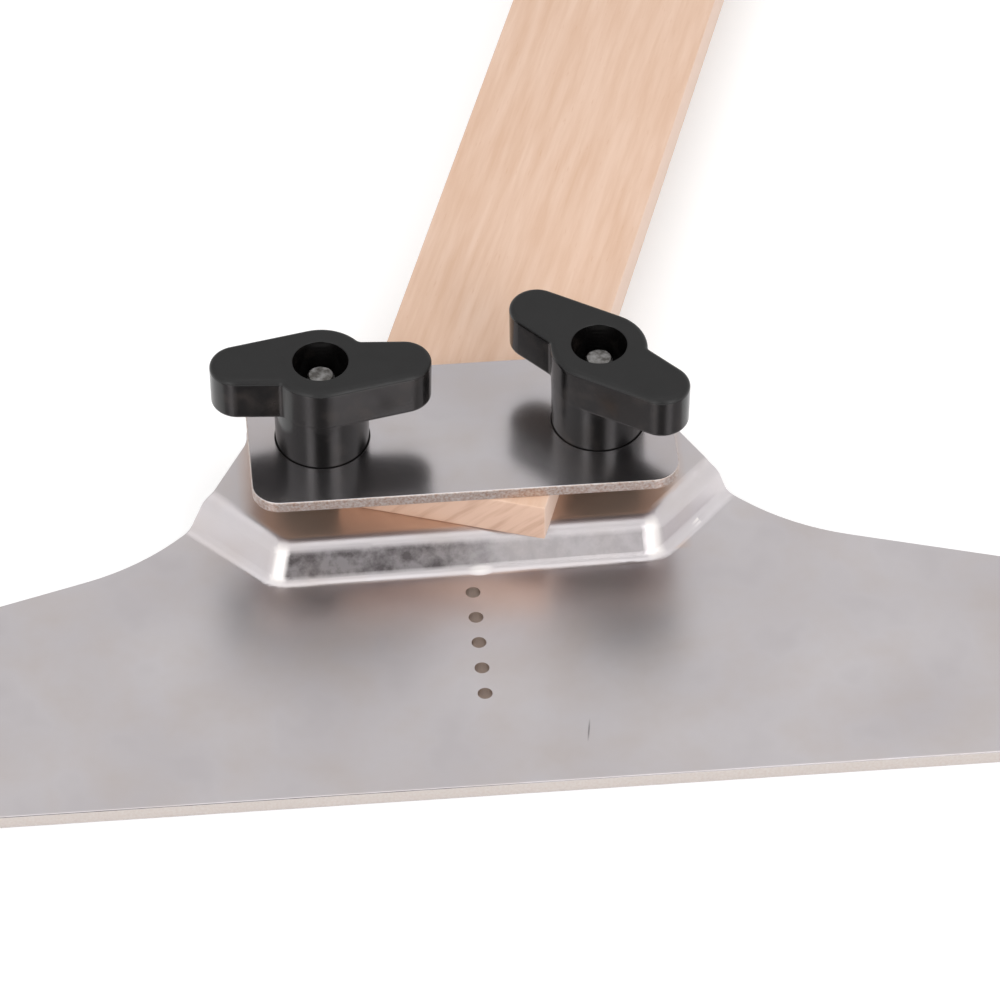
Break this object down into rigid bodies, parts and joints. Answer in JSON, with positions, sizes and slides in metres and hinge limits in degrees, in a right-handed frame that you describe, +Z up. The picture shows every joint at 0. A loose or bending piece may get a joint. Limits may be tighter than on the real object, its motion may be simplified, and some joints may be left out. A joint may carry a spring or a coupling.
{
  "type": "stair tread template tool",
  "caption": "Steel end plate with a raised platform that clamps a swivelling wooden slat under a plate with wing knobs, for taking stair tread sizes.",
  "frame": {"origin": "centre of the middle small hole of the centre line, on the underside that lies on the tread", "axes": "+X along the straight front edge, +Y from that edge back towards the clamp, +Z up"},
  "size_m": [0.25, 0.3056, 0.0455],
  "materials": {
    "plate_steel": "cold rolled, satin",
    "bolt_steel": "zinc plated",
    "beech": "planed, bare",
    "knob_plastic": "satin black"
  },
  "bodies": {
    "head": {"base_plate": "plate_steel", "left_bolt": "bolt_steel", "right_bolt": "bolt_steel"},
    "clamp": {"clamp_plate": "plate_steel"},
    "slat": {"slat": "beech"},
    "left_knob": {"left_knob": "knob_plastic", "left_nut": "bolt_steel"},
    "right_knob": {"right_knob": "knob_plastic", "right_nut": "bolt_steel"}
  },
  "joints": [
    {"name": "slat_swivel", "type": "hinge", "parent": "head", "child": "slat", "pos_m": [0, 0.046, 0.0109], "axis": [0, 0, 1], "range_deg": [-9.3, 46.7]},
    {"name": "clamp_lift", "type": "slide", "parent": "head", "child": "clamp", "axis": [0, 0, 1], "range_m": [0, 0.007]},
    {"name": "left_knob_turn", "type": "hinge", "parent": "clamp", "child": "left_knob", "pos_m": [-0.03, 0.046, 0.0231], "axis": [0, 0, 1], "range_deg": [0, 2520]},
    {"name": "right_knob_turn", "type": "hinge", "parent": "clamp", "child": "right_knob", "pos_m": [0.03, 0.046, 0.0231], "axis": [0, 0, 1], "range_deg": [0, 2520]}
  ],
  "couplings": [
    {"joint": "left_knob_turn", "follows": "clamp_lift", "rad_per_m": 6283.2},
    {"joint": "right_knob_turn", "follows": "clamp_lift", "rad_per_m": 6283.2}
  ]
}
